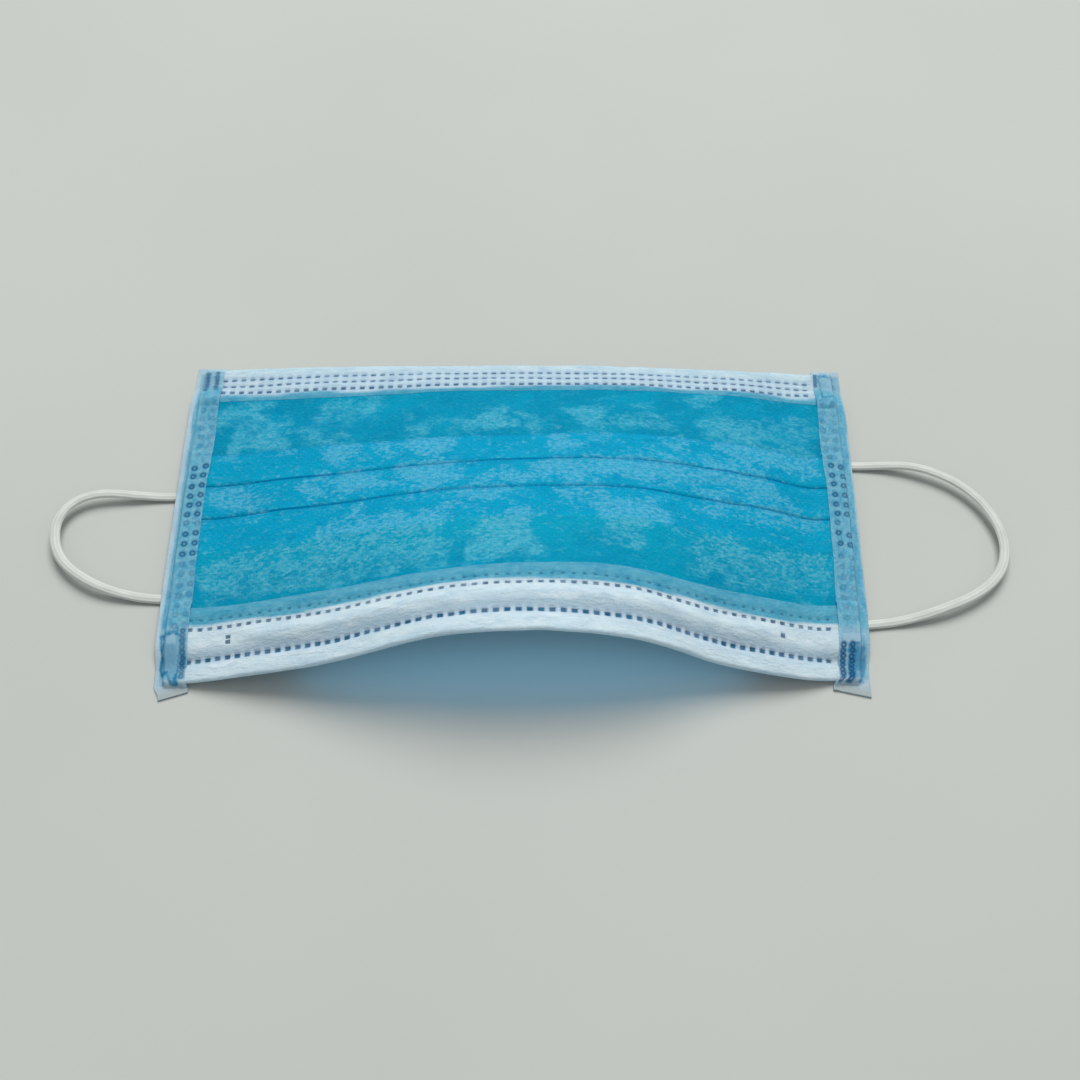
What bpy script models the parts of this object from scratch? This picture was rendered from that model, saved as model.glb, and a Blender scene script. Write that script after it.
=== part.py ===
"""A surgical face mask lying on a table, with its nose edge standing up in an arch.

The cloth is laid out flat first, in s (across, left to right from the middle) and v (from
the chin edge to the nose edge), and the lattice bends it as it lies: the nose edge arches,
the chin edge bows a little, and the sides lie over the elastic loops. X runs left to right,
+Y from the nose edge to the chin edge, +Z up. Lengths are in metres.
"""
import math

import bmesh
import bpy
import numpy as np
from mathutils import Vector

MM = 0.001

# The flat cloth
BODY_WIDTH = 174 * MM
BODY_DEPTH = 96.2 * MM
WALL = 1.0 * MM
GAP = 0.3 * MM

# Three pleats, each a lap that opens towards the chin
PLEAT_COUNT = 3
PLEAT_FIRST = 30.1 * MM
PLEAT_PITCH = 10.2 * MM
PLEAT_STEP = 1.2 * MM
PLEAT_RUN = 0.6 * MM
PLEAT_FLARE = 24 * MM
PLEAT_FADE = 14 * MM

# Hems, folded over the two long edges
NOSE_HEM = 19.8 * MM
NOSE_HEM_UNDER = 13 * MM
CHIN_HEM = 11.2 * MM
CHIN_HEM_UNDER = 8.2 * MM

# The ridge that the wire makes in the nose hem
RIDGE_LENGTH = 138 * MM
RIDGE_FROM_EDGE = 10 * MM
RIDGE_WIDTH = 7 * MM
RIDGE_HEIGHT = 0.9 * MM

# Side bindings, folded over the side edges
BINDING_COVER = 5.5 * MM
BINDING_MARGIN = 2.4 * MM
NOSE_TAIL = 5.0 * MM
CHIN_TAIL = 1.5 * MM

# The way it lies
ARCH_HEIGHT = 22.0 * MM
BULGE_HEIGHT = 4.4 * MM
CHIN_BOW = 1.7 * MM
NOSE_SHIFT = -2.9 * MM
RIGHT_SLIP = 0.9 * MM
SLIP_FROM = 0.3
LIFT_RAMP = 8 * MM
LIFT_FROM_CHIN = 5 * MM
LIFT_FROM_NOSE = 3 * MM

# Elastic loops
LOOP_THICKNESS = 1.5 * MM
LOOP_POINT_STEP = 4.0 * MM

# Longest runs of one face, across the cloth and along it
ACROSS_STEP = 4.8 * MM
ALONG_STEP = 9 * MM
RAMP_EDGES = 4
LATTICE_STEP = 1.0 * MM

# Nose edge as it stands: (side: share of the way from the middle to the binding,
# height: share of ARCH_HEIGHT)
NOSE_ARCH = (
    (-1.0, 0.00),
    (-0.8, 0.18),
    (-0.6, 0.39),
    (-0.4, 0.66),
    (-0.2, 0.90),
    (0.0, 1.00),
    (0.2, 0.95),
    (0.4, 0.74),
    (0.6, 0.39),
    (0.8, 0.17),
    (1.0, 0.00),
)

# How much higher than a straight fall to the chin edge the pleats bulge, half way along
# (side: as above, height: share of BULGE_HEIGHT)
PLEAT_BULGE = (
    (-1.0, 0.00),
    (-0.6, 0.50),
    (-0.2, 0.26),
    (0.0, 0.22),
    (0.2, 0.44),
    (0.6, 1.00),
    (0.8, 0.82),
    (1.0, 0.00),
)

# Loop routes on the table, from the weld near the chin corner round to the weld near the
# nose corner: x and y in millimetres
LEFT_LOOP = (
    (-80.5, 35.5),
    (-74.0, 34.8),
    (-68.2, 31.2),
    (-65.4, 24.5),
    (-66.9, 17.0),
    (-72.8, 11.3),
    (-81.0, 8.7),
    (-90.0, 8.0),
    (-100.5, 7.9),
    (-107.5, 7.7),
    (-112.4, 6.2),
    (-115.7, 3.2),
    (-117.3, -1.0),
    (-117.0, -6.2),
    (-114.6, -11.8),
    (-110.2, -16.2),
    (-104.2, -19.7),
    (-97.5, -21.7),
    (-90.0, -22.6),
    (-84.0, -22.6),
    (-77.5, -22.8),
    (-72.4, -24.9),
    (-70.3, -29.0),
    (-72.4, -33.1),
    (-77.5, -35.0),
    (-81.0, -35.0),
)
RIGHT_LOOP = (
    (80.5, 35.8),
    (75.0, 34.5),
    (70.8, 30.4),
    (70.8, 24.6),
    (74.4, 20.3),
    (80.5, 18.3),
    (88.0, 17.6),
    (95.0, 17.3),
    (102.5, 16.6),
    (109.3, 14.5),
    (115.9, 10.6),
    (120.9, 5.0),
    (123.8, -1.4),
    (124.6, -7.8),
    (123.0, -14.7),
    (118.8, -20.3),
    (112.7, -24.4),
    (105.3, -27.5),
    (97.3, -29.7),
    (88.5, -30.9),
    (80.5, -31.6),
    (73.0, -32.6),
    (66.5, -34.4),
)

HALF_WIDTH = BODY_WIDTH / 2
INNER = HALF_WIDTH - BINDING_COVER
SIDE = HALF_WIDTH + BINDING_MARGIN
LOOP_LIFT = LOOP_THICKNESS + GAP

# Heights of the middles of the three layers above the lattice
UNDER_LAYER = WALL / 2
CLOTH_LAYER = UNDER_LAYER + WALL + GAP
OVER_LAYER = CLOTH_LAYER + WALL + GAP

# Colour, roughness
MATERIALS = {
    "pleated_panel": ((0.02, 0.40, 0.62), 0.75),
    "nose_band": ((0.82, 0.86, 0.88), 0.80),
    "chin_band": ((0.74, 0.82, 0.88), 0.80),
    "side_binding_left": ((0.40, 0.66, 0.80), 0.70),
    "side_binding_right": ((0.40, 0.66, 0.80), 0.70),
    "ear_loop_left": ((0.88, 0.88, 0.86), 0.60),
    "ear_loop_right": ((0.88, 0.88, 0.86), 0.60),
}


def smooth_step(x):
    x = np.clip(x, 0, 1)
    return x * x * (3 - 2 * x)


def through(points, at):
    """Values at places `at` on the natural cubic spline through (place, value) rows."""
    places, values = np.array(points, float).T
    steps = np.diff(places)
    rises = np.diff(values) / steps
    system = np.eye(len(places))
    wanted = np.zeros(len(places))
    for k in range(1, len(places) - 1):
        system[k, k - 1 : k + 2] = steps[k - 1], 2 * (steps[k - 1] + steps[k]), steps[k]
        wanted[k] = 6 * (rises[k] - rises[k - 1])
    bends = np.linalg.solve(system, wanted)
    i = np.clip(np.searchsorted(places, at) - 1, 0, len(steps) - 1)
    b = (at - places[i]) / steps[i]
    a = 1 - b
    curved = (a**3 - a) * bends[i] + (b**3 - b) * bends[i + 1]
    return a * values[i] + b * values[i + 1] + curved * steps[i] ** 2 / 6


def loop_lift(v):
    """How high the sides stand to clear the loops under them."""
    chin = smooth_step((v - LIFT_FROM_CHIN) / LIFT_RAMP)
    nose = smooth_step((BODY_DEPTH - LIFT_FROM_NOSE - v) / LIFT_RAMP)
    return LOOP_LIFT * chin * nose


def underside(s, v):
    """Height of the cloth's underside above the table."""
    across = np.clip(s / INNER, -1, 1)
    along = np.clip(v / BODY_DEPTH, 0, 1)
    arch = ARCH_HEIGHT * along * through(NOSE_ARCH, across)
    bulge = BULGE_HEIGHT * 4 * along * (1 - along) * through(PLEAT_BULGE, across)
    bow = CHIN_BOW * (1 - along) * (1 - across**2)
    return np.cbrt(np.maximum(arch + bulge + bow, 0) ** 3 + loop_lift(v) ** 3)


def running_sum(rates, places, axis):
    """The integral of rates from the first place on, along one axis."""
    rates = np.moveaxis(rates, axis, -1)
    steps = (rates[..., 1:] + rates[..., :-1]) / 2 * np.diff(places)
    total = np.concatenate([np.zeros_like(rates[..., :1]), steps.cumsum(-1)], -1)
    return np.moveaxis(total, -1, axis)


class Lattice:
    """Where each point of the flat cloth lies, its length kept both ways."""

    def __init__(self):
        self.s = self.spaced(-SIDE, SIDE)
        self.v = self.spaced(-CHIN_TAIL, BODY_DEPTH + NOSE_TAIL)
        z = underside(self.s[None, :], self.v[:, None])
        x = running_sum(np.sqrt(1 - np.gradient(z, self.s, axis=1) ** 2), self.s, 1)
        x -= (x[:, :1] + x[:, -1:]) / 2
        x += NOSE_SHIFT * self.v[:, None] / BODY_DEPTH
        slope = np.gradient(z, self.v, axis=0) ** 2 + np.gradient(x, self.v, axis=0) ** 2
        y = -running_sum(np.sqrt(1 - slope), self.v, 0)
        y -= (y.min() + y.max()) / 2
        y -= RIGHT_SLIP * smooth_step((self.s / INNER - SLIP_FROM) / (1 - SLIP_FROM))
        self.points = np.stack([x, y, z], -1)
        along_s = np.gradient(self.points, self.s, axis=1)
        along_v = np.gradient(self.points, self.v, axis=0)
        normals = -np.cross(along_s, along_v)
        self.normals = normals / np.linalg.norm(normals, axis=-1, keepdims=True)

    @staticmethod
    def spaced(low, high):
        return np.linspace(low, high, round((high - low) / LATTICE_STEP) + 1)

    def laid(self, s, v, height):
        """The place in space of a point of the cloth, height above its underside."""
        i = min(max(np.searchsorted(self.v, v) - 1, 0), len(self.v) - 2)
        j = min(max(np.searchsorted(self.s, s) - 1, 0), len(self.s) - 2)
        t = (v - self.v[i]) / (self.v[i + 1] - self.v[i])
        u = (s - self.s[j]) / (self.s[j + 1] - self.s[j])

        def mixed(grid):
            low = grid[i, j] * (1 - u) + grid[i, j + 1] * u
            high = grid[i + 1, j] * (1 - u) + grid[i + 1, j + 1] * u
            return low * (1 - t) + high * t

        return Vector(mixed(self.points) + height * mixed(self.normals))


def evenly(low, high, longest):
    return np.linspace(low, high, math.ceil((high - low) / longest) + 1)


def stations():
    """The places in v where every layer has an edge, so that they bend alike."""
    chin = LIFT_FROM_CHIN + LIFT_RAMP
    nose = BODY_DEPTH - LIFT_FROM_NOSE - LIFT_RAMP
    ramp = np.linspace(0, LIFT_RAMP, RAMP_EDGES)
    between = evenly(chin, nose, ALONG_STEP)[1:-1]
    return [*(LIFT_FROM_CHIN + ramp), *between, *(nose + ramp)]


def divided(rows):
    """The (v, height) rows, with one more at each station that they pass."""
    found = [rows[0]]
    for start, end in zip(rows, rows[1:]):
        low, high = sorted((start[0], end[0]))
        passed = [v for v in stations() if low + GAP < v < high - GAP]
        for v in sorted(passed, reverse=bool(end[0] < start[0])):
            share = (v - start[0]) / (end[0] - start[0])
            found.append((v, start[1] + (end[1] - start[1]) * share))
        found.append(end)
    return found


def fold(centre, inward, low, high):
    """Three points of the turn of a hem, from its upper layer to its lower one."""
    radius = (high - low) / 2
    turns = (math.pi / 4, 0, -math.pi / 4)
    return [
        (
            centre - inward * radius * math.cos(turn),
            (high + low) / 2 + radius * math.sin(turn),
        )
        for turn in turns
    ]


def hem_profile(edge, inward, over, under, ridges=()):
    """A hem in (v, height), from its upper free edge round the fold to its lower one."""
    centre = edge + inward * (WALL / 2 + (OVER_LAYER - UNDER_LAYER) / 2)
    upper = [(v, OVER_LAYER) for v in (edge + inward * over, *ridges, centre)]
    lower = [(centre, UNDER_LAYER), (edge + inward * under, UNDER_LAYER)]
    turn = fold(centre, inward, UNDER_LAYER, OVER_LAYER)
    return divided(upper) + turn + divided(lower)


def binding_profile():
    """A side binding in (distance from the middle of the mask, height)."""
    margin_layer = UNDER_LAYER + WALL + GAP
    centre = SIDE - WALL / 2 - (margin_layer - UNDER_LAYER) / 2
    upper = [
        (INNER, OVER_LAYER),
        (HALF_WIDTH + WALL / 2, OVER_LAYER),
        (centre, margin_layer),
    ]
    lower = [(centre, UNDER_LAYER), (HALF_WIDTH, UNDER_LAYER), (INNER, UNDER_LAYER)]
    return upper + fold(centre, -1, UNDER_LAYER, margin_layer) + lower


def panel_profile():
    """The pleated cloth in (v, height), each lap rising to its edge and dropping."""
    inset = WALL + 2 * GAP
    rows = [(inset, 0)]
    for k in range(PLEAT_COUNT):
        edge = PLEAT_FIRST + k * PLEAT_PITCH
        rows += [(edge - PLEAT_RUN, 0), (edge, PLEAT_STEP)]
    rows += [(edge + PLEAT_FLARE, 0), (BODY_DEPTH - inset, 0)]
    return divided(rows)


def ridge(s, v):
    """The ridge over the nose wire."""
    from_middle = abs(v - (BODY_DEPTH - RIDGE_FROM_EDGE)) / (RIDGE_WIDTH / 2)
    ends = smooth_step((RIDGE_LENGTH / 2 - abs(s)) / RIDGE_WIDTH)
    return RIDGE_HEIGHT * ends * (1 - smooth_step(from_middle))


def bent_grid(name, columns, profile, place):
    """An open grid of columns by profile points, each moved to its place."""
    mesh = bpy.data.meshes.new(name)
    shape = bmesh.new()
    across, along = len(columns) - 1, len(profile) - 1
    bmesh.ops.create_grid(shape, x_segments=across, y_segments=along, size=1)
    for vert in shape.verts:
        column = columns[round((vert.co.x + 1) / 2 * across)]
        row = profile[round((vert.co.y + 1) / 2 * along)]
        vert.co = place(column, row)
    shape.to_mesh(mesh)
    shape.free()
    return mesh


def cloth(name, collection, columns, profile, place):
    """A sheet of the wall's thickness, with the grid in the middle of it."""
    piece = bpy.data.objects.new(name, bent_grid(name, columns, profile, place))
    collection.objects.link(piece)
    wall = piece.modifiers.new("wall", "SOLIDIFY")
    wall.thickness = WALL
    wall.offset = 0
    wall.use_even_offset = True
    piece.data.materials.append(material(name))
    return piece


def material(name):
    colour, roughness = MATERIALS[name]
    made = bpy.data.materials.new(name)
    made.use_nodes = True
    shader = made.node_tree.nodes["Principled BSDF"]
    shader.inputs["Base Color"].default_value = (*colour, 1)
    shader.inputs["Roughness"].default_value = roughness
    shader.inputs["Metallic"].default_value = 0
    made.diffuse_color = (*colour, 1)
    return made


def make_panel(collection, lattice):
    def place(s, row):
        v, rise = row
        pressed = smooth_step((INNER - abs(s)) / PLEAT_FADE)
        return lattice.laid(s, v, CLOTH_LAYER + rise * pressed)

    columns = [-HALF_WIDTH, *evenly(-INNER, INNER, ACROSS_STEP), HALF_WIDTH]
    cloth("pleated_panel", collection, columns, panel_profile(), place)


def make_hem(name, collection, lattice, profile, relief):
    columns = evenly(-INNER, INNER, ACROSS_STEP)
    columns[0] += GAP
    columns[-1] -= GAP

    def place(s, row):
        v, height = row
        rise = relief(s, v) if height == OVER_LAYER else 0
        return lattice.laid(s, v, height + rise)

    cloth(name, collection, columns, profile, place)


def make_binding(name, collection, lattice, side):
    def place(v, row):
        out, height = row
        return lattice.laid(side * out, v, height)

    columns = [-CHIN_TAIL, *stations(), BODY_DEPTH + NOSE_TAIL]
    piece = cloth(name, collection, columns, binding_profile(), place)
    if side < 0:
        piece.data.flip_normals()


def smooth_route(points):
    """Evenly spaced places on a smooth curve through the points."""
    points = np.array(points) * MM
    length = np.concatenate([[0], np.linalg.norm(np.diff(points, axis=0), axis=1).cumsum()])
    count = math.ceil(length[-1] / LOOP_POINT_STEP) + 1
    at = np.linspace(0, length[-1], count)
    x = through(np.stack([length, points[:, 0]], 1), at)
    y = through(np.stack([length, points[:, 1]], 1), at)
    return np.stack([x, y, np.full_like(x, LOOP_THICKNESS / 2)], 1)


def make_loop(name, collection, points):
    route = smooth_route(points)
    curve = bpy.data.curves.new(name, "CURVE")
    curve.dimensions = "3D"
    curve.bevel_depth = LOOP_THICKNESS / 2
    curve.bevel_resolution = 2
    curve.use_fill_caps = True
    spline = curve.splines.new("POLY")
    spline.points.add(len(route) - 1)
    for point, place in zip(spline.points, route):
        point.co = (*place, 1)
    curve.materials.append(material(name))
    collection.objects.link(bpy.data.objects.new(name, curve))


def main():
    for thing in list(bpy.data.objects):
        bpy.data.objects.remove(thing)
    collection = bpy.data.collections.new("surgical_face_mask")
    bpy.context.scene.collection.children.link(collection)
    lattice = Lattice()
    make_panel(collection, lattice)
    wire = BODY_DEPTH - RIDGE_FROM_EDGE
    ridges = wire + RIDGE_WIDTH * np.array((-0.5, -0.25, 0, 0.25, 0.5))
    nose = hem_profile(BODY_DEPTH, -1, NOSE_HEM, NOSE_HEM_UNDER, ridges)
    chin = hem_profile(0, 1, CHIN_HEM, CHIN_HEM_UNDER)
    make_hem("nose_band", collection, lattice, nose, ridge)
    make_hem("chin_band", collection, lattice, chin, lambda s, v: 0)
    make_binding("side_binding_left", collection, lattice, -1)
    make_binding("side_binding_right", collection, lattice, 1)
    make_loop("ear_loop_left", collection, LEFT_LOOP)
    make_loop("ear_loop_right", collection, RIGHT_LOOP)


main()
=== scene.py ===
"""The looks of a surgical face mask that lies on a table with its nose edge arched up.

The cloth is drawn flat, in s (across, left to right from the middle) and v (from the chin
edge to the nose edge), and bent on the same lattice as the solids. X runs left to right,
+Y from the nose edge to the chin edge, +Z up. Lengths are in metres, colours are 0 to 255.
"""

import math
from typing import NamedTuple

import bpy
import numpy as np
from mathutils import Matrix, Vector


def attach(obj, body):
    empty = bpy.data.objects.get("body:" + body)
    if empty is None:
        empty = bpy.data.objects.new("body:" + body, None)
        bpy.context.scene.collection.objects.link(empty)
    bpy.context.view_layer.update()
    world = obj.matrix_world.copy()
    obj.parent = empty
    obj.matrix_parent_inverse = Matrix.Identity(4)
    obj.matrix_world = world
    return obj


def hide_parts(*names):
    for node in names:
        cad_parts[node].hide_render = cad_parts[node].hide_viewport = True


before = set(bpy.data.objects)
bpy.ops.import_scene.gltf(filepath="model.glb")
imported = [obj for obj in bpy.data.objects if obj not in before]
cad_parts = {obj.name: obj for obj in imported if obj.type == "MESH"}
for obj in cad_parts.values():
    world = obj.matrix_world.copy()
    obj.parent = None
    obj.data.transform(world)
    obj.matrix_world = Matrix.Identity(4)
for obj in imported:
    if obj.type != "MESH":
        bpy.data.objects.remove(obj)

MM = 0.001

# The flat cloth, as in the solids
BODY_WIDTH = 174 * MM
BODY_DEPTH = 96.2 * MM
BINDING_COVER = 5.5 * MM
BINDING_MARGIN = 2.4 * MM
NOSE_TAIL = 5.0 * MM
CHIN_TAIL = 1.5 * MM
PLEAT_COUNT = 3
PLEAT_FIRST = 30.1 * MM
PLEAT_PITCH = 10.2 * MM
NOSE_HEM = 19.8 * MM
NOSE_HEM_UNDER = 13 * MM
CHIN_HEM = 11.2 * MM
CHIN_HEM_UNDER = 8.2 * MM
RIDGE_LENGTH = 138 * MM
RIDGE_FROM_EDGE = 10 * MM
RIDGE_WIDTH = 7 * MM
RIDGE_HEIGHT = 0.9 * MM

# The way it lies, as in the solids
ARCH_HEIGHT = 22.0 * MM
BULGE_HEIGHT = 4.4 * MM
CHIN_BOW = 1.7 * MM
NOSE_SHIFT = -2.9 * MM
RIGHT_SLIP = 0.9 * MM
SLIP_FROM = 0.3
LIFT_RAMP = 8 * MM
LIFT_FROM_CHIN = 5 * MM
LIFT_FROM_NOSE = 3 * MM
LOOP_LIFT = 1.8 * MM
LATTICE_STEP = 0.5 * MM
NOSE_ARCH = (
    (-1.0, 0.00),
    (-0.8, 0.18),
    (-0.6, 0.39),
    (-0.4, 0.66),
    (-0.2, 0.90),
    (0.0, 1.00),
    (0.2, 0.95),
    (0.4, 0.74),
    (0.6, 0.39),
    (0.8, 0.17),
    (1.0, 0.00),
)
PLEAT_BULGE = (
    (-1.0, 0.00),
    (-0.6, 0.50),
    (-0.2, 0.26),
    (0.0, 0.22),
    (0.2, 0.44),
    (0.6, 1.00),
    (0.8, 0.82),
    (1.0, 0.00),
)
HALF_WIDTH = BODY_WIDTH / 2
INNER = HALF_WIDTH - BINDING_COVER
SIDE = HALF_WIDTH + BINDING_MARGIN

# Cloth thicknesses, and how far the middle of each layer lies above the lattice where the
# bindings press them together
PANEL_WALL = 0.26 * MM
STRIP_WALL = 0.22 * MM
BINDING_UNDER = 0.14 * MM
HEM_UNDER = 0.5 * MM
PANEL_LAYER = 1.1 * MM
HEM_OVER = 1.7 * MM
HEM_PLY = 0.12 * MM
MARGIN_OVER = 0.45 * MM
FOLD_SPACING = 0.3 * MM
SLACK = 0.03 * MM

# How much further apart the layers stand in the middle of the mask
PRESSED_RUN = 24 * MM
PANEL_PUFF = 0.2 * MM
FOLD_PUFF = 0.05 * MM

# The folded cloth
CLOTH_INSET = 1.0 * MM
SIDE_INSET = 0.9 * MM
FOLD_DRAW = 0.7 * MM
LAP = 9.3 * MM
LAST_FALL = 16 * MM
# Width of the painted shade along each pleat fold
CREASE_SHADE_WIDTH = 0.25 * MM
FOLD_STEPS = 6
PANEL_STEP = 1.0 * MM
SHARP_FROM = 50

# The hems
HEM_TURN = 0.6 * MM
HEM_PLY_RUN = 0.5 * MM
HEM_EDGE_RUN = 2.5 * MM
EDGE_SINK = 0.16 * MM
EDGE_SINK_RUN = 1.2 * MM
ROW_PINCH = 0.14 * MM
ROW_PINCH_REACH = 0.9 * MM
SEAM_PINCH = 0.45 * MM
SEAM_PINCH_REACH = 1.4 * MM
# Where the painted shade in the crease by the seam row lies, and how wide it is
SEAM_SHADE_AWAY = 1.6 * MM
SEAM_SHADE_WIDTH = 1.3 * MM
CREASED_RUN = 2 * MM
WHITE_EDGE_RUN = 0.5 * MM
FREE_FROM = 0.7
CHIN_EDGE_BOW = 1.6 * MM
BOW_LEVEL = 0.1
HEM_COVERED = 1.5 * MM
HEM_COLUMN_STEP = 0.6 * MM
HEM_ROW_STEP = 0.7 * MM
COLUMN_CLEAR = 0.5 * MM
ROW_CLEAR = 0.3 * MM
UNDER_STEP = 1.3 * MM

# The bindings. They are pressed down past the edges of the mask, over a short run.
BINDING_STEP = 0.2 * MM
BINDING_UNDER_STEP = 1.0 * MM
BINDING_SHIFT = 1.1 * MM
PAST_CHIN = 0.4 * MM
CHIN_RUN = 1.2 * MM
PAST_NOSE = 1.6 * MM
NOSE_RUN = 1.8 * MM
PAST_SIDE = 0.4 * MM
SIDE_RUN = 0.9 * MM
CLIMB_TO_PLEATS = 2 * MM
CLIMB_TO_HEM = 4 * MM
CHIN_HEM_AHEAD = 5 * MM
NOSE_HEM_AHEAD = 4 * MM
TAIL_SLANT = 2.2 * MM
TAIL_SHORT = 0.8 * MM
FLARE_RUN = 1 * MM
BLUE_EDGE_RUN = 0.8 * MM
PALER_BELOW = 9 * MM
PALER_ABOVE = 81 * MM
PALER_RUN = 3 * MM
PALER_ON_HEMS = 0.4

# Ripples: height, length across, length along and seed
LONG_WAVES = (0.25 * MM, 17 * MM, 7 * MM, 1)
SHORT_WAVES = (0.08 * MM, 5 * MM, 3 * MM, 2)
SLOW_WANDER = (0.4 * MM, 21 * MM, 12 * MM, 3)
QUICK_WANDER = (0.1 * MM, 6 * MM, 5 * MM, 4)
HEM_CREASES = (0.1 * MM, 7 * MM, 1.1 * MM, 5)
HEM_WRINKLES = (0.07 * MM, 2.6 * MM, 0.9 * MM, 6)
WHITE_EDGE_STRAY = (0.4 * MM, 11 * MM, 1 * MM, 7)
BOW_STRAY = (0.4, 24 * MM, 1 * MM, 15)
BINDING_WAVES = (0.03 * MM, 2 * MM, 3 * MM, 9)
BINDING_EDGE_STRAY = (0.25 * MM, 8 * MM, 1 * MM, 10)
BLUE_EDGE_STRAY = (0.3 * MM, 6 * MM, 1 * MM, 14)
ZONE_STRAY_ACROSS = (3.8 * MM, 6 * MM, 4 * MM, 11)
ZONE_STRAY_ALONG = (2.66 * MM, 5 * MM, 3.5 * MM, 12)
PATCH_STRAY = (0.55 * MM, 1.0 * MM, 1.4 * MM, 13)
PATCH_DOTS = (0.5, 0.5 * MM, 0.7 * MM, 16)
NOISE_CELLS = 97

# Weld dashes in rows of 64 across the hems: row, half length and half width in
# millimetres, darkness, haze round it
DASH_COUNT = 64
DASH_PITCH = 2.54 * MM
DASH_HALF = 0.62 * MM
DASH_EDGE = 0.12 * MM
DASH_DENT = 0.2 * MM
FAINTEST_DASH = 0.75
HALO_LENGTH = 1.0 * MM
HALO_WIDTH = 0.85 * MM
NOSE_DASHES = (
    (80.3, 0.46, 0.26, 0.65, 0.0),
    (82.95, 0.60, 0.44, 0.9, 0.2),
    (90.9, 0.66, 0.54, 1.0, 1.0),
)
CHIN_DASHES = (
    (4.2, 0.64, 0.32, 0.85, 0.9),
    (6.5, 0.64, 0.32, 0.85, 0.9),
    (9.0, 0.64, 0.34, 0.9, 0.9),
)
WHITE_FROM_NOSE = 14.3 * MM
WHITE_FROM_CHIN = 9.6 * MM
# Light blue over all of the chin hem: partly its own bluish colour, partly painted shade
CHIN_TINT_AND_SHADE = 0.16

# Marks over the two ends of the nose wire: the dash that each is in line with, its place
# along and its half width in millimetres
WIRE_ENDS = ((4, 85.8, 0.4), (4, 87.0, 0.45), (58, 86.3, 0.5))
WIRE_END_DARKNESS = 0.85

# Weld rings in the bindings: distance from the middle line, first place, number, pitch and
# radius in millimetres, darkness
LEFT_RINGS = (
    (-85.15, 12.5, 7, 3.0, 0.55, 0.3),
    (-82.6, 12.2, 7, 3.0, 0.55, 0.3),
    (-85.15, 35.0, 6, 2.95, 0.58, 1.0),
    (-82.6, 34.4, 6, 3.0, 0.58, 1.0),
    (-85.15, 52.4, 1, 3.0, 0.55, 0.5),
    (-82.6, 52.2, 1, 3.0, 0.55, 0.4),
    (-85.15, 55.4, 3, 3.1, 0.58, 1.0),
    (-82.6, 55.2, 3, 3.0, 0.58, 1.0),
    (-85.0, 64.4, 7, 2.95, 0.55, 0.38),
    (-82.4, 64.0, 7, 2.95, 0.55, 0.38),
    (-85.9, 1.8, 6, 1.3, 0.4, 0.85),
    (-83.3, 1.4, 6, 1.3, 0.4, 0.85),
    (-82.7, 83.2, 10, 1.3, 0.45, 0.95),
)
RIGHT_RINGS = (
    (82.8, 12.5, 6, 3.0, 0.55, 0.3),
    (85.7, 12.8, 6, 3.0, 0.55, 0.3),
    (83.4, 30.8, 1, 3.0, 0.55, 0.6),
    (83.55, 33.6, 6, 3.1, 0.58, 1.0),
    (86.2, 34.3, 6, 3.0, 0.58, 0.9),
    (83.55, 51.9, 1, 3.0, 0.55, 0.6),
    (83.55, 55.1, 2, 3.15, 0.58, 1.0),
    (86.2, 55.6, 2, 3.1, 0.58, 0.9),
    (83.55, 62.3, 7, 2.95, 0.55, 0.38),
    (86.2, 62.6, 7, 2.95, 0.55, 0.3),
    (81.9, 1.2, 4, 1.2, 0.45, 0.85),
    (82.5, 87.0, 8, 1.3, 0.5, 1.0),
    (84.7, 87.0, 8, 1.3, 0.5, 1.0),
)
RING_WIDTH = 0.32 * MM
RING_DENT = 0.12 * MM
RING_STRAY = 0.08
RING_SEED = 8
RING_MIDDLE = 0.35
RING_MIDDLE_RUN = 0.3 * MM

# Patches where the corners of the bindings are pressed through: middle, half width and half
# length in millimetres, how far the blue fills them and how dark their outline is. Below
# zero is paler.
LEFT_PATCHES = (
    (85.65, 89.5, 2.2, 6.0, 0.42, 0.95),
    (85.4, 85.5, 1.1, 1.2, -0.5, 0.25),
    (82.6, 89.1, 1.0, 6.6, 0.62, 0.0),
    (85.9, 5.0, 0.9, 4.2, 0.35, 0.0),
    (83.3, 4.7, 0.9, 4.2, 0.35, 0.0),
)
RIGHT_PATCHES = (
    (82.5, 91.6, 1.0, 5.2, 0.4, 0.0),
    (86.1, 91.2, 2.1, 4.6, 0.72, 0.7),
    (85.2, 6.0, 2.0, 4.8, 0.0, 0.6),
    (84.9, 85.3, 2.5, 1.2, -0.9, 0.35),
)
PATCH_LINE = 0.4 * MM
PATCH_RIM = 0.2 * MM
PATCH_RIM_RUN = 0.5 * MM

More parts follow.
